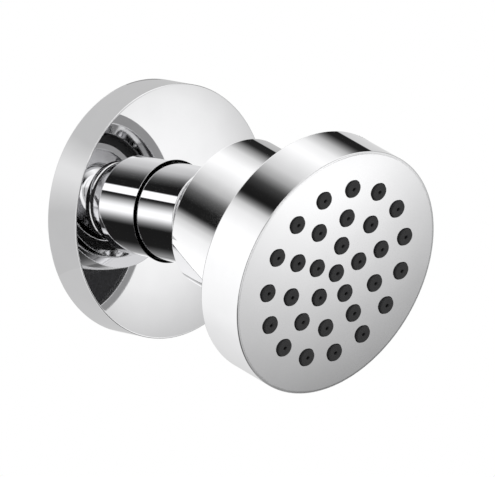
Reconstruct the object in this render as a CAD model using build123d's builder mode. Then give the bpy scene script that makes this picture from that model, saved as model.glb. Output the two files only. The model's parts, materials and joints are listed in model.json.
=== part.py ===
from build123d import *

import os
from math import acos, asin, cos, degrees, radians, sin, sqrt, tan

# Shower body jet: a round spray head on a ball joint, on a short neck with a slip-on wall flange.
# The wall is the plane Y = 0, the room is on the -Y side and +Z is up. Sizes are in millimetres.
# Wall-side pieces are drawn in a half section with X = radius and Y = distance from the wall.
# Head pieces are drawn in a half section with X = radius and Y = distance in front of the ball.

# Wall flange, a hollow turned cover that slips over the neck
flange_dia = 65.0
flange_depth = 10.6
flange_rim = 4.0
flange_face = 2.2
flange_bevel = 0.3
neck_gap = 0.6
grip_cord = 2.4
grip_boss_wall = 1.6
grip_boss_depth = 5.4
gasket_width = 1.8
gasket_thick = 1.5

# Neck, screwed onto a half-inch pipe nipple
neck_dia = 25.0
neck_reach = 14.2
neck_bevel = 0.5
nose_step = 2.1
nose_len = 4.4
inlet_dia = 18.63
inlet_len = 10.5
relief_dia = 21.2
relief_len = 3.0
inlet_washer_thick = 2.0
inlet_washer_width = 2.6
strainer_thick = 0.5
strainer_hole_dia = 1.5
strainer_counts = (6, 12)
strainer_radii = (2.4, 4.8)
regulator_dia = 14.7
regulator_len = 4.0
regulator_orifice_dia = 4.6
regulator_cord = 1.5
neck_web = 2.0
waterway_dia = 7.2

# Ball stem, screwed into the neck
nose_wall = 3.45
stem_washer_thick = 1.2
collar_step = 0.2
collar_thick = 1.8
collar_bevel = 0.2
stem_len = 10.6
ball_dia = 19.0
ball_flat_dia = 10.25
key_flats = 8.0
key_depth = 6.0
ball_cord = 1.8
ball_ring_latitude = 27.0
tilt_limit = 20.0
tilt_stop_gap = 0.3
rest_tilt = 15.0

# Socket in the back of the head
seat_wall = 1.35
seat_back = 0.6
seat_len = 8.0
seat_opening_dia = 12.0
retainer_back = 5.8
retainer_sink = 0.5
spanner_slots = 4
spanner_slot_width = 1.6
spanner_slot_depth = 1.0
cup_dia = 40.0
cup_len = 25.7
cup_wall = 2.2
cup_bevel = 0.5
cup_lip = 2.8
mouth_depth = 4.2
mouth_flare = 2.6
mouth_dia = 30.2
bumper_width = 2.4
bumper_thick = 1.4
bumper_seat = 1.6
tube_wall = 2.45
cup_washer_thick = 1.2
spigot_dia = 19.0
spigot_bore_dia = 13.0
nut_flats = 26.0
nut_thick = 2.5
spigot_end = 0.4

# Spray head
head_dia = 65.0
head_bevel = 0.25
rim_wall = 1.6
rim_lip = 2.2
back_recess = 1.2
back_wall = 2.2
back_step = 1.0
face_lip = 0.55
face_gap = 0.1
face_thick = 1.8
mat_thick = 1.6
water_gap = 1.6
diffuser_thick = 2.4
diffuser_hole_dia = 2.4
ledge_width = 2.3
head_cord = 1.2
nozzle_dia = 4.6
nozzle_tip_dia = 4.3
nozzle_proud = 0.6
nozzle_bore_dia = 1.2
nozzle_feed_dia = 2.4
nozzle_feed_cover = 1.2
nozzle_gap = 0.12
nozzle_counts = (5, 10, 15)
nozzle_radii = (7.4, 14.85, 22.7)

# Clearances
turn_gap = 0.05
thread_gap = 0.05
ring_gap = 0.03

# Places along the neck, measured from the wall
flange_front = flange_depth
shoulder = flange_front + neck_reach
nose_end = shoulder + nose_len
collar_back = nose_end + stem_washer_thick
collar_front = collar_back + collar_thick
pivot_reach = collar_front + stem_len
inlet_depth = inlet_len + relief_len
web_back = inlet_depth + regulator_len
web_front = web_back + neck_web

# Radii of the wall-side pieces
flange_r = flange_dia / 2
neck_r = neck_dia / 2
nose_r = neck_r - nose_step
inlet_r = inlet_dia / 2
relief_r = relief_dia / 2
waterway_r = waterway_dia / 2
shank_r = nose_r - nose_wall
collar_r = nose_r - collar_step
regulator_r = regulator_dia / 2
pocket_r = regulator_r + thread_gap
flange_hole_r = neck_r + neck_gap
grip_r = neck_r + ring_gap + grip_cord / 2
grip_groove_r = grip_r + grip_cord / 2 + ring_gap
grip_groove_width = grip_cord + 4 * ring_gap
grip_boss_r = grip_groove_r + grip_boss_wall
grip_boss_back = flange_front - flange_face - grip_boss_depth
grip_mid = flange_front - flange_face - grip_boss_depth / 2

# Ball, its seat and the stem that the full tilt leaves room for
ball_r = ball_dia / 2
ball_flat = sqrt(ball_r**2 - (ball_flat_dia / 2) ** 2)
bowl_r = ball_r + turn_gap
retainer_hole_r = sqrt(bowl_r**2 - retainer_back**2)
tilt_room = retainer_hole_r - tilt_stop_gap - retainer_back * tan(radians(tilt_limit))
stem_r = tilt_room * cos(radians(tilt_limit))
ball_ring_reach = ball_r - ball_cord / 2
ball_groove_depth = ball_cord + ring_gap

# Places along the head, measured from the ball's centre
socket_r = bowl_r + seat_wall + turn_gap
cup_r = cup_dia / 2
cup_back = -(retainer_back + mouth_depth)
flare_end = cup_back + mouth_flare
mouth_floor = -(retainer_back + retainer_sink)
bumper_front = mouth_floor + bumper_seat
back_lip = cup_back + cup_len
back_face = back_lip + back_recess
back_shoulder = back_face + back_step
back_inside = back_face + back_wall
seat_front = seat_back + seat_len
socket_step = seat_front + turn_gap
nut_front = back_inside + nut_thick
spigot_front = nut_front + spigot_end
diffuser_back = spigot_front + water_gap
mat_back = diffuser_back + diffuser_thick
face_back = mat_back + mat_thick
face_front = face_back + face_thick
nozzle_tip = face_front + nozzle_proud

# Radii of the head pieces
tube_r = socket_r + tube_wall
cavity_r = cup_r - cup_wall
mouth_r = mouth_dia / 2
bumper_r = mouth_r - bumper_width
spigot_r = spigot_dia / 2
seat_opening_r = seat_opening_dia / 2
head_r = head_dia / 2
rim_lip_r = head_r - rim_lip
shell_inner_r = head_r - rim_wall
ledge_r = shell_inner_r - ledge_width
face_seat_r = head_r - face_lip
face_r = face_seat_r - face_gap
mat_r = shell_inner_r - 2 * thread_gap
diffuser_r = shell_inner_r - thread_gap
head_ring_r = shell_inner_r - ring_gap - head_cord / 2

# Section planes and axes
pivot = Vector(0, -pivot_reach, 0)
outward = Vector(0, -1, 0)
head_way = Vector(0, -cos(radians(rest_tilt)), -sin(radians(rest_tilt)))
wall_section = Plane(origin=(0, 0, 0), x_dir=(1, 0, 0), z_dir=(0, 0, -1))
head_section = Plane(
    origin=pivot, x_dir=(1, 0, 0), z_dir=Vector(1, 0, 0).cross(head_way)
)
neck_plane = Plane(origin=(0, 0, 0), x_dir=(1, 0, 0), z_dir=outward)
head_plane = Plane(origin=pivot, x_dir=(1, 0, 0), z_dir=head_way)
neck_axis = Axis((0, 0, 0), outward)
head_axis = Axis(pivot, head_way)

os.makedirs("parts", exist_ok=True)


def half_section(plane, *points):
    """A closed half section, ready to be turned about its plane's own axis."""
    with BuildSketch(plane) as section:
        with BuildLine():
            Polyline(*points, close=True)
        make_face()
    return section.sketch


def cord_section(plane, ring_radius, place, cord):
    """The round section of a rubber ring."""
    with BuildSketch(plane) as section:
        with Locations((ring_radius, place)):
            Circle(cord / 2)
    return section.sketch


def keep(builder, name):
    """Labels a finished piece and writes it out."""
    builder.part.label = name
    export_step(builder.part, f"parts/{name}.step")


# Wall flange: flat face, straight rim with a gasket groove, and a boss that grips the neck
gasket_in = flange_r - flange_rim / 2 - gasket_width / 2
gasket_out = gasket_in + gasket_width
flange_inside = flange_front - flange_face
with BuildPart() as wall_flange:
    revolve(
        half_section(
            wall_section,
            (flange_hole_r, grip_boss_back),
            (grip_boss_r, grip_boss_back),
            (grip_boss_r, flange_inside),
            (flange_r - flange_rim, flange_inside),
            (flange_r - flange_rim, 0),
            (gasket_in - ring_gap, 0),
            (gasket_in - ring_gap, gasket_thick),
            (gasket_out + ring_gap, gasket_thick),
            (gasket_out + ring_gap, 0),
            (flange_r, 0),
            (flange_r, flange_front - flange_bevel),
            (flange_r - flange_bevel, flange_front),
            (flange_hole_r, flange_front),
        ),
        axis=neck_axis,
    )
    with BuildSketch(wall_section):
        with Locations((grip_groove_r, grip_mid)):
            Rectangle(
                grip_groove_r - neck_r,
                grip_groove_width,
                align=(Align.MAX, Align.CENTER),
            )
    revolve(axis=neck_axis, mode=Mode.SUBTRACT)
keep(wall_flange, "wall_flange")

# Flat gasket in the back of the flange's rim
with BuildPart() as flange_gasket:
    revolve(
        half_section(
            wall_section,
            (gasket_in, 0),
            (gasket_out, 0),
            (gasket_out, gasket_thick),
            (gasket_in, gasket_thick),
        ),
        axis=neck_axis,
    )
keep(flange_gasket, "flange_gasket")

# Rubber ring that grips the neck and lets the flange slide along it
with BuildPart() as flange_o_ring:
    revolve(cord_section(wall_section, grip_r, grip_mid, grip_cord), axis=neck_axis)
keep(flange_o_ring, "flange_o_ring")

# Neck: pipe thread bore and its relief at the wall, regulator pocket, web, and the stem's bore
with BuildPart() as neck_body:
    revolve(
        half_section(
            wall_section,
            (inlet_r, 0),
            (neck_r - neck_bevel, 0),
            (neck_r, neck_bevel),
            (neck_r, shoulder - neck_bevel),
            (neck_r - neck_bevel, shoulder),
            (nose_r, shoulder),
            (nose_r, nose_end - neck_bevel),
            (nose_r - neck_bevel, nose_end),
            (shank_r + thread_gap, nose_end),
            (shank_r + thread_gap, web_front),
            (waterway_r, web_front),
            (waterway_r, web_back),
            (pocket_r, web_back),
            (pocket_r, inlet_depth),
            (relief_r, inlet_depth),
            (relief_r, inlet_len),
            (inlet_r, inlet_len),
        ),
        axis=neck_axis,
    )
keep(neck_body, "neck_body")

# Strainer: a punched steel disc on the bore's shoulder
strainer_r = inlet_r - 2 * thread_gap
strainer_front = inlet_depth
strainer_back = strainer_front - strainer_thick
with BuildPart() as inlet_strainer:
    with BuildSketch(neck_plane.offset(strainer_back)):
        Circle(strainer_r)
        Circle(strainer_hole_dia / 2, mode=Mode.SUBTRACT)
        for count, pitch_r in zip(strainer_counts, strainer_radii):
            with PolarLocations(pitch_r, count):
                Circle(strainer_hole_dia / 2, mode=Mode.SUBTRACT)
    extrude(amount=strainer_thick)
keep(inlet_strainer, "inlet_strainer")

# Inlet washer, pinched between the strainer and the pipe nipple
inlet_washer_back = strainer_back - inlet_washer_thick
with BuildPart() as inlet_washer:
    revolve(
        half_section(
            wall_section,
            (strainer_r - inlet_washer_width, inlet_washer_back),
            (strainer_r, inlet_washer_back),
            (strainer_r, strainer_back),
            (strainer_r - inlet_washer_width, strainer_back),
        ),
        axis=neck_axis,
    )
keep(inlet_washer, "inlet_washer")

# Flow regulator: a plastic cartridge with one orifice and a grooved side
regulator_mid = inlet_depth + regulator_len / 2
regulator_groove_r = regulator_r - regulator_cord
with BuildPart() as flow_regulator:
    with BuildSketch(neck_plane.offset(inlet_depth)):
        Circle(regulator_r)
        Circle(regulator_orifice_dia / 2, mode=Mode.SUBTRACT)
    extrude(amount=regulator_len)
    with BuildSketch(wall_section):
        with Locations((regulator_groove_r, regulator_mid)):
            Rectangle(
                2 * regulator_cord,
                regulator_cord + 4 * ring_gap,
                align=(Align.MIN, Align.CENTER),
            )
    revolve(axis=neck_axis, mode=Mode.SUBTRACT)
keep(flow_regulator, "flow_regulator")

# Rubber ring round the regulator
regulator_ring_r = pocket_r - ring_gap - regulator_cord / 2
with BuildPart() as regulator_o_ring:
    revolve(
        cord_section(wall_section, regulator_ring_r, regulator_mid, regulator_cord),
        axis=neck_axis,
    )
keep(regulator_o_ring, "regulator_o_ring")

# Washer between the neck's nose and the stem's collar
stem_washer_r = nose_r - 2 * neck_bevel
with BuildPart() as stem_washer:
    revolve(
        half_section(
            wall_section,
            (shank_r + thread_gap, nose_end),
            (stem_washer_r, nose_end),
            (stem_washer_r, collar_back),
            (shank_r + thread_gap, collar_back),
        ),
        axis=neck_axis,
    )
keep(stem_washer, "stem_washer")

# Ball stem: threaded shank, collar, stem and ball turned from one bar, bored for water
shank_back = web_front + neck_bevel
ball_front = pivot_reach + ball_flat
ring_way = radians(ball_ring_latitude)
stem_meets_ball = -degrees(acos(stem_r / ball_r))
flat_meets_ball = degrees(asin(ball_flat / ball_r))
with BuildPart() as ball_stem:
    with BuildSketch(wall_section):
        with BuildLine():
            ball_arc = CenterArc(
                (0, pivot_reach), ball_r, stem_meets_ball, flat_meets_ball - stem_meets_ball
            )
            Polyline(
                ball_arc @ 1,
                (waterway_r, ball_front),
                (waterway_r, shank_back),
                (shank_r, shank_back),
                (shank_r, collar_back),
                (collar_r - collar_bevel, collar_back),
                (collar_r, collar_back + collar_bevel),
                (collar_r, collar_front - collar_bevel),
                (collar_r - collar_bevel, collar_front),
                (stem_r, collar_front),
                ball_arc @ 0,
            )
        make_face()
    revolve(axis=neck_axis)
    with BuildSketch(wall_section):
        with Locations(
            (
                (ball_r - ball_groove_depth) * cos(ring_way),
                pivot_reach + (ball_r - ball_groove_depth) * sin(ring_way),
            )
        ):
            Rectangle(
                2 * ball_groove_depth,
                ball_cord + 4 * ring_gap,
                rotation=ball_ring_latitude,
                align=(Align.MIN, Align.CENTER),
            )
    revolve(axis=neck_axis, mode=Mode.SUBTRACT)
    with BuildSketch(neck_plane.offset(ball_front - key_depth)):
        RegularPolygon(key_flats / 2, 6, major_radius=False)
    extrude(amount=key_depth, mode=Mode.SUBTRACT)
keep(ball_stem, "ball_stem")

# Rubber ring in the ball's groove
with BuildPart() as ball_o_ring:
    revolve(
        cord_section(
            wall_section,
            ball_ring_reach * cos(ring_way),
            pivot_reach + ball_ring_reach * sin(ring_way),
            ball_cord,
        ),
        axis=neck_axis,
    )
keep(ball_o_ring, "ball_o_ring")

# Seat ring: slippery plastic with a spherical bowl for the front of the ball
seat_r = socket_r - turn_gap
seat_low = degrees(asin(seat_back / bowl_r))
seat_high = degrees(acos(seat_opening_r / bowl_r))
with BuildPart() as ball_seat_ring:
    with BuildSketch(head_section):
        with BuildLine():
            seat_arc = CenterArc((0, 0), bowl_r, seat_low, seat_high - seat_low)
            Polyline(
                seat_arc @ 1,
                (seat_opening_r, seat_front),
                (seat_r, seat_front),
                (seat_r, seat_back),
                seat_arc @ 0,
            )
        make_face()
    revolve(axis=head_axis)
keep(ball_seat_ring, "ball_seat_ring")

# Retainer: a threaded ring, driven by a pin spanner, that keeps the ball in its seat
retainer_front = seat_back - turn_gap
retainer_low = -degrees(asin(retainer_back / bowl_r))
retainer_high = degrees(asin(retainer_front / bowl_r))
with BuildPart() as ball_retainer:
    with BuildSketch(head_section):
        with BuildLine():
            retainer_arc = CenterArc(
                (0, 0), bowl_r, retainer_low, retainer_high - retainer_low
            )
            Polyline(
                retainer_arc @ 1,
                (socket_r - thread_gap, retainer_front),
                (socket_r - thread_gap, -retainer_back),
                retainer_arc @ 0,
            )
        make_face()
    revolve(axis=head_axis)
    with BuildSketch(head_plane.offset(-retainer_back)):
        with PolarLocations(socket_r, spanner_slots, start_angle=180 / spanner_slots):
            Rectangle(
                2 * (socket_r - retainer_hole_r) + spanner_slot_width,
                spanner_slot_width,
            )
    extrude(amount=spanner_slot_depth, mode=Mode.SUBTRACT)
keep(ball_retainer, "ball_retainer")

# Cup: thin outer wall, flared mouth round the stem, socket tube and threaded spigot in one turned piece
tube_front = back_face - cup_washer_thick
cavity_back = bumper_front + cup_wall
with BuildPart() as swivel_cup:
    revolve(
        half_section(
            head_section,
            (cup_r - cup_lip, cup_back),
            (cup_r - cup_bevel, cup_back),
            (cup_r, cup_back + cup_bevel),
            (cup_r, back_face),
            (cavity_r, back_face),
            (cavity_r, bumper_front),
            (mouth_r, cavity_back),
            (tube_r, cavity_back),
            (tube_r, tube_front),
            (spigot_r, tube_front),
            (spigot_r, spigot_front),
            (spigot_bore_dia / 2, spigot_front),
            (spigot_bore_dia / 2, socket_step),
            (socket_r, socket_step),
            (socket_r, mouth_floor),
            (bumper_r, mouth_floor),
            (bumper_r, bumper_front),
            (mouth_r, bumper_front),
            (mouth_r, flare_end),
        ),
        axis=head_axis,
    )
keep(swivel_cup, "swivel_cup")

# Bumper: a flat rubber ring in the cup's mouth, which faces the stem's collar at full tilt
with BuildPart() as bumper_ring:
    revolve(
        half_section(
            head_section,
            (bumper_r + ring_gap, bumper_front - bumper_thick),
            (mouth_r - ring_gap, bumper_front - bumper_thick),
            (mouth_r - ring_gap, bumper_front),
            (bumper_r + ring_gap, bumper_front),
        ),
        axis=head_axis,
    )
keep(bumper_ring, "bumper_ring")

# Washer between the cup's tube and the head
with BuildPart() as cup_washer:
    revolve(
        half_section(
            head_section,
            (spigot_r + thread_gap, tube_front),
            (tube_r, tube_front),
            (tube_r, back_face),
            (spigot_r + thread_gap, back_face),
        ),
        axis=head_axis,
    )
keep(cup_washer, "cup_washer")

# Hexagon nut that clamps the head to the cup's spigot
with BuildPart() as cup_nut:
    with BuildSketch(head_plane.offset(back_inside)):
        RegularPolygon(nut_flats / 2, 6, major_radius=False)
        Circle(spigot_r + thread_gap, mode=Mode.SUBTRACT)
    extrude(amount=nut_thick)
keep(cup_nut, "cup_nut")

# Head shell: a straight rim with a lip behind and a rebate for the face plate in front
with BuildPart() as head_shell:
    revolve(
        half_section(
            head_section,
            (rim_lip_r, back_lip),
            (head_r - head_bevel, back_lip),
            (head_r, back_lip + head_bevel),
            (head_r, face_front - head_bevel),
            (head_r - head_bevel, face_front),
            (face_seat_r, face_front),
            (face_seat_r, face_back),
            (shell_inner_r, face_back),
            (shell_inner_r, back_shoulder),
            (rim_lip_r, back_shoulder),
        ),
        axis=head_axis,
    )
keep(head_shell, "head_shell")

# Back plate: dark moulding that bears on the shell's lip, with a raised ring for the diffuser plate
back_plate_r = shell_inner_r - thread_gap
with BuildPart() as back_plate:
    revolve(
        half_section(
            head_section,
            (spigot_r + 2 * thread_gap, back_face),
            (rim_lip_r - thread_gap, back_face),
            (rim_lip_r - thread_gap, back_shoulder),
            (back_plate_r, back_shoulder),
            (back_plate_r, diffuser_back),
            (ledge_r, diffuser_back),
            (ledge_r, back_inside),
            (spigot_r + 2 * thread_gap, back_inside),
        ),
        axis=head_axis,
    )
keep(back_plate, "back_plate")


def nozzle_places():
    """Centre and rings of nozzle places, each ring starting at the top."""
    places = [(0, 0)]
    for count, ring_r in zip(nozzle_counts, nozzle_radii):
        for index in range(count):
            turn = radians(90 + 360 * index / count)
            places.append((ring_r * cos(turn), ring_r * sin(turn)))
    return places


# Diffuser plate: backs the nozzle mat and feeds each nozzle through a hole
diffuser_mid = diffuser_back + diffuser_thick / 2
with BuildPart() as diffuser_plate:
    with BuildSketch(head_plane.offset(diffuser_back)):
        Circle(diffuser_r)
        with Locations(*nozzle_places()):
            Circle(diffuser_hole_dia / 2, mode=Mode.SUBTRACT)
    extrude(amount=diffuser_thick)
    with BuildSketch(head_section):
        with Locations((head_ring_r - head_cord / 2 - ring_gap, diffuser_mid)):
            Rectangle(
                2 * head_cord,
                head_cord + 4 * ring_gap,
                align=(Align.MIN, Align.CENTER),
            )
    revolve(axis=head_axis, mode=Mode.SUBTRACT)
keep(diffuser_plate, "diffuser_plate")

# Rubber ring round the diffuser plate
with BuildPart() as head_o_ring:
    revolve(cord_section(head_section, head_ring_r, diffuser_mid, head_cord), axis=head_axis)
keep(head_o_ring, "head_o_ring")

# Nozzle mat: one rubber sheet with a hollow, slightly tapered nozzle at each place
nozzle_len = nozzle_tip - face_back
nozzle_taper = degrees(asin((nozzle_dia - nozzle_tip_dia) / 2 / nozzle_len))
with BuildPart() as nozzle_mat:
    with BuildSketch(head_plane.offset(mat_back)):
        Circle(mat_r)
    extrude(amount=mat_thick)
    with BuildSketch(head_plane.offset(face_back)):
        with Locations(*nozzle_places()):
            Circle(nozzle_dia / 2)
    extrude(amount=nozzle_len, taper=nozzle_taper)
    with BuildSketch(head_plane.offset(mat_back)):
        with Locations(*nozzle_places()):
            Circle(nozzle_feed_dia / 2)
    extrude(amount=nozzle_tip - nozzle_feed_cover - mat_back, mode=Mode.SUBTRACT)
    with BuildSketch(head_plane.offset(nozzle_tip)):
        with Locations(*nozzle_places()):
            Circle(nozzle_bore_dia / 2)
    extrude(amount=-nozzle_feed_cover, mode=Mode.SUBTRACT)
keep(nozzle_mat, "nozzle_mat")

# Face plate: a polished disc, set into the rim, that the nozzles stand through
with BuildPart() as face_plate:
    with BuildSketch(head_plane.offset(face_back)):
        Circle(face_r)
        with Locations(*nozzle_places()):
            Circle(nozzle_dia / 2 + nozzle_gap, mode=Mode.SUBTRACT)
    extrude(amount=face_thick)
keep(face_plate, "face_plate")
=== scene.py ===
# %% [markdown]
# # A chrome shower body jet
#
# A body jet is a small spray head that stands out of a shower's wall. A round flange covers the hole in
# the wall, a short neck comes through it, and a ball joint in a cup carries the flat head. Nearly all
# that the eye sees is mirror chrome, so this lesson is about two things: true turned surfaces, whose
# corners are small even rounds, and a studio whose cards the chrome can mirror.
#
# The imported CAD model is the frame. Its pieces stay where they are, and every new piece takes its place
# from the same dimensions.

# %% Load the frame
import json
import math

import bmesh
import bpy
from mathutils import Matrix, Vector


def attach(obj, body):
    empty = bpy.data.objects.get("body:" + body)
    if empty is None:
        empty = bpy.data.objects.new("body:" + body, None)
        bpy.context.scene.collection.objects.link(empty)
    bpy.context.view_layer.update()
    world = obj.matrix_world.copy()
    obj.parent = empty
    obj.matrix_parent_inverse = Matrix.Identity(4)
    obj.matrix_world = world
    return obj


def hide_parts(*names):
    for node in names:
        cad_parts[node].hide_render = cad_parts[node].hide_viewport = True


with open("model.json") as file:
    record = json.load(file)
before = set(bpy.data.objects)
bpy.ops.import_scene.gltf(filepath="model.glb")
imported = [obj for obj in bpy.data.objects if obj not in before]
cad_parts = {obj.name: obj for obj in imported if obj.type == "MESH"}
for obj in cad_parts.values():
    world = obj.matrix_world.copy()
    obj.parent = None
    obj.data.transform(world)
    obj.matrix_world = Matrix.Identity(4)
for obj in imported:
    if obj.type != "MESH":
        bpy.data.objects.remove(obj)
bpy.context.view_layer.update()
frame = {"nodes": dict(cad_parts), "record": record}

MM = 0.001

# %% [markdown]
# ## The camera
#
# The picture is nearly free of perspective, so the camera is far off with a very long lens. It stands to
# the left of the part and a little above it. A fit to the flange's and the head's circles gave the
# angles and the point that the camera aims at, which lies off the flange's face to the right and down.

# %% Make the camera
AZIMUTH, ELEVATION = math.radians(-42.634), math.radians(10.267)
CAMERA_AWAY = 2.3
LENS_MM, SENSOR_MM = 662.7, 36
FLANGE_FACE = 10.6
AIM_RIGHT, AIM_DOWN = 19.027, 6.845

back = Vector((
    math.sin(AZIMUTH) * math.cos(ELEVATION), -math.cos(AZIMUTH) * math.cos(ELEVATION), math.sin(ELEVATION)
))
right = Vector((math.cos(AZIMUTH), math.sin(AZIMUTH), 0))
up = back.cross(right)
aim = Vector((0, -FLANGE_FACE, 0)) * MM + AIM_RIGHT * MM * right - AIM_DOWN * MM * up

camera = bpy.data.objects.new("camera", bpy.data.cameras.new("camera"))
bpy.context.collection.objects.link(camera)
camera.data.lens, camera.data.sensor_width = LENS_MM, SENSOR_MM
camera.data.clip_start, camera.data.clip_end = 0.1, 20
camera.location = aim + CAMERA_AWAY * back
camera.rotation_euler = (-back).to_track_quat("-Z", "Y").to_euler()
bpy.context.scene.camera = camera
bpy.context.scene.view_settings.view_transform = "Standard"
print("camera at", [round(x, 3) for x in camera.location])

# %% [markdown]
# ## Two working frames
#
# All the chrome pieces are turned on a lathe, so each is an outline of radius and height spun round its
# own axis. The wall side's axis comes straight out of the wall. The head's axis goes through the ball's
# centre and leans down. The record's spin joint says where that centre is and how far the axis leans.

# %% Place the two axes
spin_joint = next(j for j in frame["record"]["behaviour"]["joints"] if j["name"] == "head_spin")
ball_centre = Vector(spin_joint["pos_m"])
lean = math.asin(-spin_joint["axis"][2])
WALL = Matrix.Rotation(math.radians(90), 4, "X")
HEAD = Matrix.Translation(ball_centre) @ Matrix.Rotation(math.radians(90) + lean, 4, "X")
print("the head leans", round(math.degrees(lean), 1), "degrees")

# %% [markdown]
# ## Turning a piece
#
# A corner that a lathe leaves is never quite sharp: a polisher rounds it by a few tenths of a
# millimetre, and that round catches a thin line of light. A Bevel modifier would give every corner the
# same width, so here each outline point may carry a rounding radius of its own, which a vertex bevel
# makes before the spin. Smooth shading would tilt a flat mirror's normals next to a round, so every
# straight run gets a holding point close to each end.

# %% Define the lathe
STEPS = 144
ROUND_STEPS = 6
HOLD = 0.12 * MM
SHORTEST_HELD_RUN = 5 * HOLD


def lathe(mesh, outline, steps):
    """Spin a closed outline of (radius, height, rounding) in millimetres round the Z axis."""
    points = [mesh.verts.new((radius * MM, 0, height * MM)) for radius, height, *_ in outline]
    for here, there in zip(points, points[1:] + points[:1]):
        mesh.edges.new((here, there))
    for point, (_, _, *rounding) in zip(points, outline):
        if rounding:
            bmesh.ops.bevel(
                mesh, geom=[point], offset=rounding[0] * MM, offset_type="OFFSET", affect="VERTICES",
                segments=ROUND_STEPS, profile=0.5, material=-1,
            )
    for edge in [e for e in mesh.edges if e.calc_length() > SHORTEST_HELD_RUN]:
        first, last = edge.verts
        bmesh.utils.edge_split(edge, first, HOLD / edge.calc_length())
        bmesh.utils.edge_split(edge, last, HOLD / edge.calc_length())
    bmesh.ops.spin(
        mesh, geom=mesh.verts[:] + mesh.edges[:], cent=(0, 0, 0), axis=(0, 0, 1),
        angle=math.tau, steps=steps, use_merge=True,
    )


print("one lathe step is", 360 / STEPS, "degrees")

# %% [markdown]
# ## From a mesh to a piece
#
# A turned mesh is still only a shape at the origin. Its place goes into the mesh and not into the
# object, so that a pattern on Object coordinates stays where it is. Then the piece is told which body it
# rides on and which CAD node it stands for.

# %% Define the pieces
SHARP_CORNER = math.radians(40)


def shade(mesh):
    """Smooth shading, with the sharp corners kept."""
    bmesh.ops.recalc_face_normals(mesh, faces=mesh.faces)
    for face in mesh.faces:
        face.smooth = True
    for edge in mesh.edges:
        edge.smooth = edge.calc_face_angle(0) < SHARP_CORNER


def to_object(name, mesh):
    """Turn a bmesh into an object at the origin."""
    data = bpy.data.meshes.new(name)
    mesh.to_mesh(data)
    mesh.free()
    made = bpy.data.objects.new(name, data)
    bpy.context.collection.objects.link(made)
    return made


def piece(name, mesh, place, body, slot, *nodes):
    """Make a bmesh a piece that rides on a body and stands for its CAD nodes."""
    mesh.transform(place)
    made = to_object(name, mesh)
    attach(made, body)
    if nodes:
        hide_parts(*nodes)
    print(name, len(made.data.polygons), "faces")
    return made


def turned(name, outline, place, body, slot, *nodes):
    """Turn an outline into a piece."""
    mesh = bmesh.new()
    lathe(mesh, outline, STEPS)
    shade(mesh)
    return piece(name, mesh, place, body, slot, *nodes)


print("corners over", round(math.degrees(SHARP_CORNER)), "degrees stay sharp")

# %% [markdown]
# ## The wall flange
#
# The flange is a shallow dish with its flat face outwards. It is hollow behind, with a groove in its rim
# for the gasket and one in its hub for the rubber ring that grips the neck. Its face is a flat mirror,
# in which the picture shows the neck, the cup and the back of the head a second time. Insets in a
# cylinder could make it, but one outline gives all its steps and grooves at once.

# %% Turn the flange
OUTER = 32.5
flange = turned("flange_turned", [
    (13.1, 3.0), (16.56, 3.0, 0.3), (16.56, 8.4, 0.8), (28.5, 8.4, 1.0), (28.5, 0.0), (29.57, 0.0),
    (29.57, 1.5), (31.43, 1.5), (31.43, 0.0), (OUTER, 0.0, 0.2), (OUTER, FLANGE_FACE, 0.25),
    (13.1, FLANGE_FACE, 0.1), (13.1, 6.96), (14.96, 6.96), (14.96, 4.44), (13.1, 4.44),
], WALL, "flange", "polished_chrome", "wall_flange")

# %% [markdown]
# ## The neck
#
# The neck is a thick tube with a narrower nose, and its inlet screws onto a half-inch pipe. The CAD bore
# is a plain cylinder at the thread's inner diameter. Here the bore is cut at the outer diameter, which
# leaves room for the thread.

# %% Turn the neck
neck = turned("neck_turned", [
    (10.48, 0.52), (11.0, 0.0), (12.0, 0.0), (12.5, 0.5), (12.5, 24.8, 0.4), (10.4, 24.8),
    (10.4, 29.2, 0.3), (7.0, 29.2), (7.0, 19.5), (3.6, 19.5), (3.6, 17.5), (7.4, 17.5), (7.4, 13.5),
    (10.6, 13.5), (10.6, 10.5), (10.48, 10.5),
], WALL, "wall_side", "polished_chrome", "neck_body")

# %% [markdown]
# ## The inlet's thread
#
# The thread's ridge is a strip with a blunt triangle for its section. It climbs 1.814 mm in each turn. A
# Screw modifier could wind it. A spin with a step along the axis does the same on the bmesh, whose ends
# can then be closed at once.

# %% Wind the thread
PITCH, CREST, ROOT, BLUNT = 1.814, 9.32, 10.6, 0.15
THREAD_START, THREAD_END = 0.6, 10.4
STEPS_PER_TURN = 48

turns = (THREAD_END - THREAD_START - PITCH) / PITCH
wound = STEPS_PER_TURN * round(turns * 2) // 2
thread = bmesh.new()
thread.faces.new([
    thread.verts.new((radius * MM, 0, (THREAD_START + climbed * PITCH) * MM))
    for radius, climbed in [
        (ROOT, 0), (CREST + BLUNT, 0.42), (CREST, 0.5), (CREST + BLUNT, 0.58), (ROOT, 1),
    ]
])
bmesh.ops.spin(
    thread, geom=thread.verts[:] + thread.edges[:] + thread.faces[:], cent=(0, 0, 0), axis=(0, 0, 1),
    dvec=(0, 0, turns * PITCH * MM / wound), angle=math.tau * turns, steps=wound, use_merge=False,
)
bmesh.ops.holes_fill(thread, edges=[e for e in thread.edges if e.is_boundary], sides=0)
shade(thread)
thread_ridge = piece("inlet_thread_ridge", thread, WALL, "wall_side", "bare_brass")

# %% [markdown]
# ## The swivel cup
#
# The cup holds the ball. Its mouth faces the wall and flares out, so that the stem's collar has room
# when the head tilts, and a groove in its floor holds a rubber bumper. Only its straight side shows
# directly. The lip, the flare and the bumper show in the flange's face, so they are turned as carefully.

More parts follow.
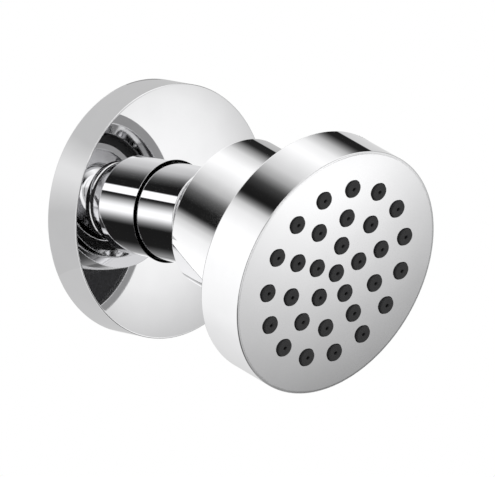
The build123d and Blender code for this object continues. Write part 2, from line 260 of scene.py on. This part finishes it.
# %% Turn the cup
cup = turned("cup_turned", [
    (17.2, -10.0, 0.15), (20.0, -10.0, 0.12), (20.0, 16.9), (17.8, 16.9), (17.8, -4.7), (15.1, -2.5),
    (13.4, -2.5), (13.4, 15.7), (9.5, 15.7), (9.5, 22.0), (6.5, 22.0), (6.5, 8.65), (10.95, 8.65),
    (10.95, -6.3, 0.1), (12.7, -6.3, 0.3), (12.7, -4.7), (15.1, -4.7), (15.1, -7.4, 0.2),
], HEAD, "head", "polished_chrome", "swivel_cup")

# %% [markdown]
# ## The head's rim
#
# The rim is a plain ring with a lip that turns in at the back, and a seat in front for the face plate. The
# plate sits flush in it with hardly a gap, and the small round at the rim's front edge draws the thin dark
# line round the face.

# %% Turn the rim
HEAD_FACE = 29.4
rim = turned("rim_turned", [
    (30.3, 15.7, 0.15), (OUTER, 15.7, 0.3), (OUTER, HEAD_FACE, 0.25), (31.88, HEAD_FACE), (31.88, 27.6),
    (30.9, 27.6), (30.9, 17.9), (30.3, 17.9),
], HEAD, "head", "polished_chrome", "head_shell")

# %% [markdown]
# ## The nozzle mat
#
# One rubber moulding lies behind the face plate, and its 31 nozzles stand through the plate's holes in
# rings of one, five, ten and fifteen. A nozzle is a short cone with a rounded tip and a fine bore. One
# is turned, and the others are copies of it, moved out and turned round the head's axis. Instances would
# be lighter, but the real mat is one piece.

# %% Mould the nozzles
NOZZLE_STEPS = 32
NOZZLE_RINGS = [(5, 7.4), (10, 14.85), (15, 22.7)]


def verts_of(geometry):
    """Only the vertices of what an operator gives back."""
    return [part for part in geometry if isinstance(part, bmesh.types.BMVert)]


mat = bmesh.new()
lathe(mat, [
    (0.45, 27.4), (2.3, 27.4), (2.29, 27.7), (2.2, 30.0, 0.25), (0.6, 30.0, 0.1), (0.45, 29.85),
], NOZZLE_STEPS)
first_nozzle = mat.verts[:] + mat.edges[:] + mat.faces[:]
for count, ring_radius in NOZZLE_RINGS:
    for index in range(count):
        moved = verts_of(bmesh.ops.duplicate(mat, geom=first_nozzle)["geom"])
        bmesh.ops.translate(mat, verts=moved, vec=(0, ring_radius * MM, 0))
        bmesh.ops.rotate(
            mat, verts=moved, cent=(0, 0, 0), matrix=Matrix.Rotation(math.tau * index / count, 3, "Z")
        )
print("nozzle faces", len(mat.faces))

# %% [markdown]
# The mat itself is a round sheet. A filled circle, extruded by its thickness, is all it needs, because
# only the nozzles show. Their feet end inside it.

# %% Lay the mat under the nozzles
MAT_RADIUS, MAT_BACK, MAT_THICK = 30.8, 26.0, 1.6

sheet = bmesh.ops.create_circle(mat, cap_ends=True, radius=MAT_RADIUS * MM, segments=96)["verts"]
bmesh.ops.translate(mat, verts=sheet, vec=(0, 0, MAT_BACK * MM))
lifted = bmesh.ops.extrude_face_region(mat, geom=list(sheet[0].link_faces), use_keep_orig=True)["geom"]
bmesh.ops.translate(mat, verts=verts_of(lifted), vec=(0, 0, MAT_THICK * MM))
shade(mat)
nozzles = piece("nozzle_mat_moulded", mat, HEAD, "head", "nozzle_rubber", "nozzle_mat")

# %% [markdown]
# ## Colours and nodes
#
# Colours are written as sRGB hex values, which is how a picture shows them, and one function turns them
# to the linear values that the renderer works in. One more function adds a node with its settings and
# links.

# %% Define the colour and node helpers
def linear(shown):
    """One display value from 0 to 1 as a linear value."""
    return shown / 12.92 if shown <= 0.04045 else ((shown + 0.055) / 1.055) ** 2.4


def colour(hexed):
    """An sRGB hex colour as linear RGBA."""
    return [linear(int(hexed[i:i + 2], 16) / 255) for i in (1, 3, 5)] + [1.0]


def add(tree, kind, settings=None, links=None):
    """Add a node, set its properties and socket values, and link sockets into it."""
    made = tree.nodes.new(kind)
    for key, value in (settings or {}).items():
        if key in made.inputs:
            made.inputs[key].default_value = value
        else:
            setattr(made, key, value)
    for key, source in (links or {}).items():
        tree.links.new(source, made.inputs[key])
    return made


def ramp_stops(ramp, stops):
    """Give a colour ramp its (place, RGBA) stops."""
    marks = ramp.color_ramp.elements
    while len(marks) > 1:
        marks.remove(marks[-1])
    marks[0].position, marks[0].color = stops[0]
    for place, tone in stops[1:]:
        marks.new(place).color = tone


def new_material(name):
    """An empty material, its node tree and its Object coordinates."""
    made = bpy.data.materials.new(name)
    made.use_nodes = True
    made.node_tree.nodes.clear()
    return made, made.node_tree, add(made.node_tree, "ShaderNodeTexCoord").outputs["Object"]


print("white in linear", colour("#ffffff"))

# %% [markdown]
# ## Surfaces that vary
#
# No real surface is one even colour. In every finish here a noise drifts between two shades and between
# two roughnesses at the same places. Most of a noise lies between 0.3 and 0.7, so the ramps start and
# end there.

# %% Define the variation
NOISE_LOW, NOISE_HIGH = 0.3, 0.7


def vary(tree, noise, shades, rough):
    """Links for a shader whose colour and roughness follow a noise from one value to another."""
    tone = add(tree, "ShaderNodeValToRGB", links={"Fac": noise})
    ramp_stops(tone, [(NOISE_LOW, colour(shades[0])), (NOISE_HIGH, colour(shades[1]))])
    worn = add(
        tree, "ShaderNodeMapRange",
        {"From Min": NOISE_LOW, "From Max": NOISE_HIGH, "To Min": rough[0], "To Max": rough[1]},
        {"Value": noise},
    )
    return {"Base Color": tone.outputs["Color"], "Roughness": worn.outputs["Result"]}


print("noise counts from", NOISE_LOW, "to", NOISE_HIGH)

# %% [markdown]
# ## Chrome
#
# Polished chrome is a thin plating on buffed brass, and mirrors almost everything. What tells it from a
# perfect mirror is a slight haze from buffing, which drifts over some 8 mm, and a faint cool tone. The
# face plate is the same plating with a softer polish, and the ball's retainer has a satin finish.

# %% Plate the chrome
def chrome(name, shades, haze, drift_mm):
    """Plated metal whose tone and haze drift slowly over the surface."""
    made, tree, place = new_material(name)
    drift = add(
        tree, "ShaderNodeTexNoise", {"Scale": 1 / (drift_mm * MM), "Detail": 2.0}, {"Vector": place}
    )
    varied = vary(tree, drift.outputs["Fac"], shades, haze)
    metal = add(tree, "ShaderNodeBsdfPrincipled", {"Metallic": 1.0}, varied)
    add(tree, "ShaderNodeOutputMaterial", links={"Surface": metal.outputs["BSDF"]})
    return made


finishes = {
    # Buffed bright: what it mirrors stays sharp.
    "polished_chrome": chrome("polished_chrome_plating", ("#f2f2f3", "#f5f5f6"), (0.015, 0.03), 8),
    # Polished more softly: what it mirrors is a little blurred.
    "face_chrome": chrome("face_chrome_plating", ("#f1f1f2", "#f5f5f6"), (0.07, 0.1), 8),
    # Plated and not buffed: it shows light and dark, but no sharp shapes.
    "satin_chrome": chrome("satin_chrome_plating", ("#dfdfe1", "#e6e6e8"), (0.22, 0.28), 3),
}
print(sorted(finishes))

# %% [markdown]
# ## Brass and punched steel
#
# The clamping nut and the thread are bare brass, turned and then dulled a little by handling. The
# strainer is stainless sheet with the straight grain of the rolling mill. Both show fine lines about a
# quarter of a millimetre apart, which is coarser than the real marks so that they still show in a
# picture.

# %% Cut the bare metals
LINES_MM, LINE_DEPTH_MM = 0.25, 0.02
DULLED = (0.22, 0.38)


def cut_metal(name, shades, stretch):
    """Bare metal with fine tool lines across one direction."""
    made, tree, place = new_material(name)
    spread = add(tree, "ShaderNodeMapping", {"Scale": stretch}, {"Vector": place})
    lines = add(
        tree, "ShaderNodeTexNoise", {"Scale": 1 / (LINES_MM * MM), "Detail": 3.0},
        {"Vector": spread.outputs["Vector"]},
    )
    noise = lines.outputs["Fac"]
    varied = vary(tree, noise, shades, DULLED)
    raised = add(
        tree, "ShaderNodeBump", {"Strength": 0.15, "Distance": LINE_DEPTH_MM * MM}, {"Height": noise}
    )
    metal = add(
        tree, "ShaderNodeBsdfPrincipled", {"Metallic": 1.0}, {**varied, "Normal": raised.outputs["Normal"]}
    )
    add(tree, "ShaderNodeOutputMaterial", links={"Surface": metal.outputs["BSDF"]})
    return made


# Warm yellow, with dull and bright lines where the tool passed.
finishes["bare_brass"] = cut_metal("turned_brass", ("#c9a55a", "#dcbc76"), (0.1, 1.0, 0.1))
# Neutral grey, with a straight grain.
finishes["punched_steel"] = cut_metal("rolled_stainless", ("#c4c5c6", "#d6d7d8"), (0.06, 1.0, 1.0))
print(sorted(finishes))

# %% [markdown]
# ## Rubber and plastic
#
# The nozzles are silicone rubber: dark grey, soft to the light, with a very fine matt grain from the
# mould. Seals are blacker nitrile rubber, the gasket is a closed-cell foam with open bubbles at its cut
# face, and the back plate and the inner mouldings are acetal. A moulding shows a faint orange-peel
# grain.

# %% Mould the rubber and the plastic
# Silicone has about 1.42, acetal 1.48 and nitrile rubber 1.52.
POLYMER_IOR = 1.46


def moulded(name, shades, grain_mm, grain_depth_mm, rough, gloss):
    """A moulded polymer with a fine grain in colour, roughness and height."""
    made, tree, place = new_material(name)
    grain = add(
        tree, "ShaderNodeTexNoise", {"Scale": 1 / (grain_mm * MM), "Detail": 4.0}, {"Vector": place}
    )
    noise = grain.outputs["Fac"]
    varied = vary(tree, noise, shades, rough)
    raised = add(
        tree, "ShaderNodeBump", {"Strength": 0.4, "Distance": grain_depth_mm * MM}, {"Height": noise}
    )
    polymer = add(
        tree, "ShaderNodeBsdfPrincipled", {"IOR": POLYMER_IOR, "Specular IOR Level": gloss},
        {**varied, "Normal": raised.outputs["Normal"]},
    )
    add(tree, "ShaderNodeOutputMaterial", links={"Surface": polymer.outputs["BSDF"]})
    return made


# Soft dark grey, with a weak sheen on the tips.
finishes["nozzle_rubber"] = moulded("silicone_nozzles", ("#242425", "#2a2a2b"), 0.6, 0.02, (0.5, 0.62), 0.4)
# Nearly black and matt.
finishes["black_rubber"] = moulded("nitrile_rubber", ("#1c1c1d", "#262627"), 0.5, 0.03, (0.55, 0.7), 0.4)
# Dull, with open cells deep enough to hold shade.
finishes["foam_rubber"] = moulded("foam_gasket", ("#2b2b2c", "#3f3f41"), 0.35, 0.12, (0.8, 0.95), 0.2)
# Dark and smooth enough to mirror bright things faintly.
finishes["dark_plastic"] = moulded("dark_acetal", ("#2a2a2c", "#313134"), 0.9, 0.01, (0.18, 0.26), 0.5)
# Milky white, between matt and gloss.
finishes["white_plastic"] = moulded("white_acetal", ("#e4e3df", "#eeede9"), 0.9, 0.01, (0.35, 0.45), 0.5)
print(sorted(finishes))

# %% [markdown]
# ## Dressing the pieces
#
# A new piece takes the finish of its slot. A CAD node keeps its mesh and gets the finish through its
# object's material slot, and the record says which slot each node has.

# %% Dress every piece
for made, slot in [
    (flange, "polished_chrome"), (neck, "polished_chrome"), (thread_ridge, "bare_brass"),
    (cup, "polished_chrome"), (rim, "polished_chrome"), (nozzles, "nozzle_rubber"),
]:
    made.data.materials.append(finishes[slot])
for subpart in frame["record"]["subparts"]:
    carried = frame["nodes"][subpart["node"]]
    for slot in carried.material_slots:
        slot.link, slot.material = "OBJECT", finishes[subpart["material_slot"]]

# %% [markdown]
# Plating and polishing don't reach every face of a turned piece alike. The neck's inside is left
# unplated, so its bore shows the thread's brass. The flange's hollow back is plated but not buffed. The
# cup's mouth and the rim's front edge have the face plate's softer polish. A second material slot on the
# piece takes those faces, and a face is picked by its height on the axis and its distance from it.

# %% Give some faces a second finish
def refinish(made, axis, slot, heights, reach):
    """Give another finish to the faces between two heights and within a reach, in millimetres."""
    made.data.materials.append(finishes[slot])
    to_axis, picked = axis.inverted(), 0
    for face in made.data.polygons:
        at = (to_axis @ face.center) / MM
        if heights[0] < at.z < heights[1] and math.hypot(at.x, at.y) < reach:
            face.material_index = 1
            picked += 1
    print(made.name, picked, "faces in", slot)


refinish(neck, WALL, "bare_brass", heights=(-1, 24), reach=10.65)
refinish(flange, WALL, "satin_chrome", heights=(-1, 8.5), reach=28.6)
refinish(cup, HEAD, "face_chrome", heights=(-11, -7.2), reach=17.1)
refinish(rim, HEAD, "face_chrome", heights=(29.3, 30), reach=33)

# %% [markdown]
# ## The studio
#
# Chrome has no colour of its own, so its look is the studio's. Round the part stand white, grey and black
# cards. Only mirrors see them: they cast no light, no shade, and the camera looks through them. Their
# greys are written as the picture shows them, so a card glows a little brighter to make up for what the
# chrome takes away.

# %% Define the cards
CHROME_GIVES_BACK = 0.87
DISPLAY_GAMMA = 2.2


def card_material(name, gradient, greys, size=None):
    """A card whose greys, as a picture shows them, run round its axis or out from its centre."""
    made, tree, place = new_material(name)
    if size:
        sized = add(tree, "ShaderNodeMapping", {"Scale": [1 / size] * 3}, {"Vector": place})
        place = sized.outputs["Vector"]
    run = add(tree, "ShaderNodeTexGradient", {"gradient_type": gradient}, {"Vector": place})
    shown = add(tree, "ShaderNodeValToRGB", links={"Fac": run.outputs["Fac"]})
    ramp_stops(shown, [(where, [grey] * 3 + [1.0]) for where, grey in greys])
    tone = add(tree, "ShaderNodeGamma", {"Gamma": DISPLAY_GAMMA}, {"Color": shown.outputs["Color"]})
    glow = add(
        tree, "ShaderNodeEmission", {"Strength": 1 / CHROME_GIVES_BACK}, {"Color": tone.outputs["Color"]}
    )
    add(tree, "ShaderNodeOutputMaterial", links={"Surface": glow.outputs["Emission"]})
    return made


def card(name, mesh, place, material):
    """Put a card into the studio, for mirrors only."""
    made = to_object(name, mesh)
    made.matrix_world = place
    made.data.materials.append(material)
    made.visible_camera = made.visible_diffuse = made.visible_shadow = made.visible_transmission = False
    return made


print("a white card glows at", round(1 / CHROME_GIVES_BACK, 3))

# %% [markdown]
# A turned side mirrors one ring round its axis, so its card is bent into such a ring, and the card's
# greys run round it by a colour ramp. The angles start at the top and run clockwise for someone who
# faces the part.

# %% Define the ring cards
CARD_STEPS = 240


def ring_card(name, axis, edges, greys):
    """A strip between two edges of (radius, height) in millimetres, spun round an axis frame's Z."""
    mesh = bmesh.new()
    start, stop = (math.radians(greys[end][0]) for end in (0, -1))
    strip = [
        mesh.verts.new((-radius * MM * math.sin(start), -radius * MM * math.cos(start), height * MM))
        for radius, height in edges
    ]
    mesh.edges.new(strip)
    bmesh.ops.spin(
        mesh, geom=mesh.verts[:] + mesh.edges[:], cent=(0, 0, 0), axis=(0, 0, 1),
        angle=start - stop, steps=CARD_STEPS, use_merge=math.isclose(stop - start, math.tau),
    )
    # A radial gradient is 1 at 90 degrees here, and falls to 0 at 450.
    stops = [(1.25 - angle / 360, grey) for angle, grey in reversed(greys)]
    material = card_material(name, "RADIAL", stops)
    return card(name, mesh, axis @ Matrix.Rotation(math.pi, 4, "Z"), material)


print("a full ring has", CARD_STEPS, "steps")

# %% [markdown]
# The cup's ring and the head's ring lie behind the head and lean with it. Dark flags on the left and the
# right give the two dark bands of each side, and the rest is white to pale grey.

# %% Hang the cup's and the head's rings
cup_ring = ring_card("cup_ring", HEAD, [(692, -575), (673, -598)], [
    (90, 0.71), (104, 0.71), (150, 1.0), (207, 1.0), (240, 0.93), (252, 0.82), (260, 0.62), (269, 0.13),
    (281, 0.13), (297, 0.36), (311, 0.69), (330, 0.88), (352, 1.0), (366, 0.98), (387, 0.83), (402, 0.51),
    (414, 0.16), (431.5, 0.14), (432.5, 0.68), (450, 0.71),
])
head_ring = ring_card("head_ring", HEAD, [(157.6, -27.8), (132, -90.4)], [
    (90, 0.81), (99, 0.86), (140, 0.8), (198, 0.88), (216, 0.93), (273, 1.0), (287, 1.0), (303, 0.91),
    (309, 0.78), (317, 0.12), (323, 0.14), (330, 0.25), (339, 0.62), (348, 0.81), (373, 1.0), (387, 0.92),
    (399, 0.69), (413, 0.15), (424.5, 0.13), (426, 0.78), (450, 0.81),
])
print(cup_ring.name, head_ring.name)

# %% [markdown]
# The neck's ring lies in front of the wall side. A bright slot between two black flags gives the neck
# its narrow highlight. The flange's rim looks at the wall close behind it, so a strip of wall lies
# there, a little lighter at its upper left.

# %% Hang the neck's ring and the strip of wall
neck_ring = ring_card("neck_ring", WALL, [(234, 299.4), (278, 259.2)], [
    (90, 0.87), (140, 0.66), (162, 0.47), (188, 0.14), (234, 0.13), (248, 0.57), (258, 0.91), (263, 1.04),
    (275, 1.04), (281, 0.91), (291, 0.58), (299, 0.16), (302.7, 0.15), (303.7, 1.06), (320, 1.06),
    (321.5, 0.13), (339, 0.13), (356, 0.35), (372, 0.63), (384, 0.76), (420, 0.88), (450, 0.87),
])
wall_strip = ring_card("wall_strip", WALL, [(33, -0.5), (44, -0.5)], [
    (243, 0.724), (274, 0.724), (292, 0.865), (297, 0.865), (312, 0.73), (392, 0.724),
])
print(neck_ring.name, wall_strip.name)

# %% [markdown]
# The two flat faces are mirrors too, so each has a card of its own, parallel to it and set off along the
# mirrored line of sight. A soft pool of white on the card gives the face its drift from white to grey.

# %% Hang the face cards
CARD_AWAY, POOL_REACH = 250 * MM, 110 * MM


def face_card(name, axis, along, sight, half, pool, bright):
    """A square card parallel to a face, along the mirrored sight, its pool of white off its centre."""
    mesh = bmesh.new()
    bmesh.ops.create_grid(mesh, x_segments=1, y_segments=1, size=half * MM)
    bmesh.ops.translate(mesh, verts=mesh.verts, vec=(-pool[0] * MM, -pool[1] * MM, 0))
    fall = [(1 - far * MM / POOL_REACH, grey) for far, grey in bright]
    material = card_material(name, "SPHERICAL", fall, POOL_REACH)
    face_centre = axis @ Vector((0, 0, along * MM))
    towards = axis.to_3x3() @ Vector((pool[0] * MM, pool[1] * MM, 0))
    place = Matrix.Translation(face_centre + CARD_AWAY * Vector(sight) + towards) @ axis.to_3x3().to_4x4()
    return card(name, mesh, place, material)


flange_card = face_card(
    "flange_card", WALL, FLANGE_FACE, (0.662, -0.730, -0.1685), 38.5, (-6.7, 4.4),
    [(60, 0.58), (44, 0.74), (35, 0.83), (27, 0.91), (18, 0.945), (0, 0.95)],
)
head_card = face_card(
    "head_card", HEAD, HEAD_FACE, (0.673, -0.5295, -0.5165), 80, (-13.3, 45.5),
    [(105, 0.4), (78, 0.64), (22, 1.0), (0, 1.0)],
)
print(flange_card.location, head_card.location)

# %% [markdown]
# ## The room
#
# Beyond the cards, mirrors see a large grey room with a white ceiling and a darker ground. It is a
# sphere, and its greys run down from its top, so its object sits there.

# %% Build the room
ROOM = 2.2
ROOM_GREY = 0.74

room = bmesh.new()
bmesh.ops.create_uvsphere(room, u_segments=48, v_segments=24, radius=ROOM)
bmesh.ops.translate(room, verts=room.verts, vec=(0, 0, -ROOM))
room_paint = card_material("room", "SPHERICAL", [
    (0.0, 0.4), (0.03, 0.45), (0.055, ROOM_GREY), (0.5, ROOM_GREY), (0.562, 1.0), (1.0, 1.0),
], 2 * ROOM)
room_card = card("room", room, Matrix.Translation((0, 0, ROOM)), room_paint)
print("the room's top is at", [round(x, 2) for x in room_card.matrix_world.translation])

# %% [markdown]
# In the room stand a panel and four flags, upright rings whose angles start at the wall and run clockwise
# seen from above. A white panel low in front of the part and a dark flag under it shade the cup's
# underside. Flags on the left and the right darken the edges of the flat faces and what the flange
# mirrors. Each fades into the room's grey at its ends.

# %% Stand the panel and the flags
UPRIGHT = Matrix.Identity(4)
for name, edges, greys in [
    ("front_panel", [(1000, -120), (1000, -740)], [
        (136, ROOM_GREY), (142, 0.96), (196, 0.96), (202, ROOM_GREY),
    ]),
    ("low_flag", [(1000, -840), (350, -1150)], [
        (125, ROOM_GREY), (140, 0.7), (165, 0.3), (190, 0.13), (230, 0.13), (250, ROOM_GREY),
    ]),
    ("right_flag", [(1000, 30), (1000, 470)], [
        (388, ROOM_GREY), (391, 0.56), (419, 0.56), (422, ROOM_GREY),
    ]),
    ("edge_flag", [(1050, -1500), (1050, 480)], [
        (403, ROOM_GREY), (410, 0.1), (442, 0.1), (449, ROOM_GREY),
    ]),
    ("left_flag", [(1050, -860), (1050, 735)], [
        (195, ROOM_GREY), (201, 0.25), (238, 0.25), (245, ROOM_GREY),
    ]),
]:
    flag = ring_card(name, UPRIGHT, edges, greys)
    print(flag.name, len(flag.data.polygons), "faces")

# %% [markdown]
# ## The floor
#
# The floor is a plain pale sheet well below the part, as for a thing that hangs on a wall. The camera
# sees it fade to white far from the part, so that it has no edge. Mirrors see the room's ground instead.

# %% Lay the floor
FLOOR_HALF, FLOOR_DROP, FLOOR_CLOUD = 0.8, 0.35, 0.25
FADE_FROM, FADE_TO = 0.25, 0.55

floor_mesh = bmesh.new()
bmesh.ops.create_grid(floor_mesh, x_segments=1, y_segments=1, size=FLOOR_HALF)
floor = to_object("floor", floor_mesh)
floor.location.z = -FLOOR_DROP
floor.visible_glossy = False

floor_paint, tree, place = new_material("floor_paint")
cloud = add(tree, "ShaderNodeTexNoise", {"Scale": 1 / FLOOR_CLOUD}, {"Vector": place})
tone = add(tree, "ShaderNodeValToRGB", links={"Fac": cloud.outputs["Fac"]})
ramp_stops(tone, [(NOISE_LOW, colour("#f4f4f4")), (NOISE_HIGH, colour("#f7f7f7"))])
matt = add(tree, "ShaderNodeBsdfDiffuse", links={"Color": tone.outputs["Color"]})
near = add(tree, "ShaderNodeTexGradient", {"gradient_type": "SPHERICAL"}, {"Vector": place})
far = add(
    tree, "ShaderNodeMapRange", {"From Min": 1 - FADE_FROM, "From Max": 1 - FADE_TO},
    {"Value": near.outputs["Fac"]},
)
ray = add(tree, "ShaderNodeLightPath")
seen = add(
    tree, "ShaderNodeMath", {"operation": "MULTIPLY"},
    {0: far.outputs["Result"], 1: ray.outputs["Is Camera Ray"]},
)
white = add(tree, "ShaderNodeEmission", {"Strength": 1.0})
faded = add(
    tree, "ShaderNodeMixShader",
    links={"Fac": seen.outputs[0], 1: matt.outputs["BSDF"], 2: white.outputs["Emission"]},
)
add(tree, "ShaderNodeOutputMaterial", links={"Surface": faded.outputs["Shader"]})
floor.data.materials.append(floor_paint)
print("floor at", round(floor.location.z, 2), "m")

# %% [markdown]
# ## The light
#
# The world is white behind the part, and would be so in mirrors and glass where no card stands before it.
# For everything else it is a softer light, which shades the rubber and the plastic evenly.

# %% Light the world
world = bpy.data.worlds.new("studio")
bpy.context.scene.world = world
world.use_nodes = True
tree = world.node_tree
tree.nodes.clear()
ray = add(tree, "ShaderNodeLightPath")
seen = ray.outputs["Is Camera Ray"]
for kind in ("Is Glossy Ray", "Is Transmission Ray"):
    either = add(tree, "ShaderNodeMath", {"operation": "MAXIMUM"}, {0: seen, 1: ray.outputs[kind]})
    seen = either.outputs[0]
soft = add(tree, "ShaderNodeBackground", {"Color": colour("#e0e0e0"), "Strength": 0.8})
white = add(tree, "ShaderNodeBackground", {"Color": colour("#ffffff"), "Strength": 1.0})
both = add(
    tree, "ShaderNodeMixShader",
    links={"Fac": seen, 1: soft.outputs["Background"], 2: white.outputs["Background"]},
)
add(tree, "ShaderNodeOutputWorld", links={"Surface": both.outputs["Shader"]})
print("world", world.name, len(tree.nodes), "nodes")

# %% [markdown]
# One wide lamp hangs high in front of the part. It gives the rubber and the floor a direction of light
# with soft shade. Mirrors don't see it, because a bright square would spoil their calm greys.

# %% Hang the lamp
LAMP_WIDE, LAMP_WATTS = 0.9, 9.0

lamp = bpy.data.objects.new("lamp", bpy.data.lights.new("lamp", "AREA"))
bpy.context.collection.objects.link(lamp)
lamp.data.size, lamp.data.energy = LAMP_WIDE, LAMP_WATTS
lamp.location = (-0.5, -0.9, 0.9)
lamp.rotation_euler = (-lamp.location).to_track_quat("-Z", "Y").to_euler()
lamp.visible_glossy = False
print("lamp", lamp.data.energy, "W")
